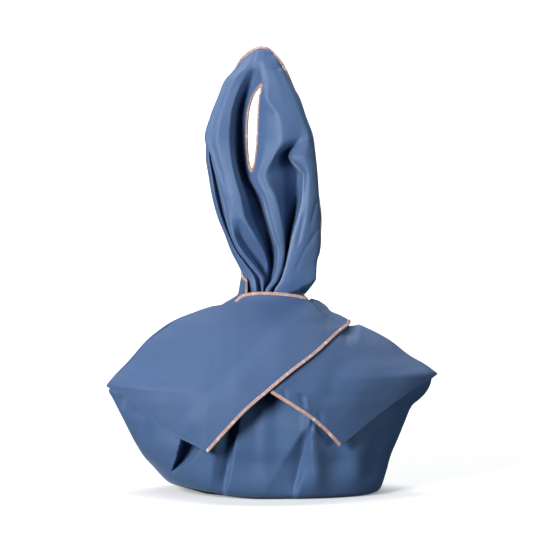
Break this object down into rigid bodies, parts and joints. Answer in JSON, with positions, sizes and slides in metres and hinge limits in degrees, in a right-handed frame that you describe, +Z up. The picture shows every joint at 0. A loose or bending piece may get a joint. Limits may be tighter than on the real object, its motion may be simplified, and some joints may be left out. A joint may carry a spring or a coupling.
{
  "type": "furoshiki wrap",
  "caption": "Cloth wrap tied into a rounded bag: crossed wings over the front, a gathered tail standing up through the neck, and a bound hand slit in it.",
  "frame": {"origin": "on the surface the wrap stands on, below the middle of the sack's base", "axes": "+Z up, +X to the viewer's right, -Y the front, where the two wings cross"},
  "size_m": [0.323, 0.164, 0.4395],
  "materials": {
    "sack_cloth": "fine twill polyester with a soft satin sheen, dusty blue",
    "left_wing_cloth": "fine twill polyester with a soft satin sheen, dusty blue",
    "right_wing_cloth": "fine twill polyester with a soft satin sheen, dusty blue",
    "ear_cloth": "fine twill polyester with a soft satin sheen, dusty blue",
    "left_wing_tape": "folded satin binding, pale pink",
    "right_wing_tape": "folded satin binding, pale pink",
    "neck_tape": "folded satin binding, pale pink",
    "ear_edge_tape": "folded satin binding, pale pink",
    "hand_slit_tape": "folded satin binding, pale pink"
  },
  "bodies": {
    "root": {"sack": "sack_cloth", "left_wing": "left_wing_cloth", "right_wing": "right_wing_cloth", "ear": "ear_cloth", "left_wing_binding": "left_wing_tape", "right_wing_binding": "right_wing_tape", "neck_binding": "neck_tape", "ear_edge_binding": "ear_edge_tape", "hand_slit_binding": "hand_slit_tape"}
  },
  "joints": []
}
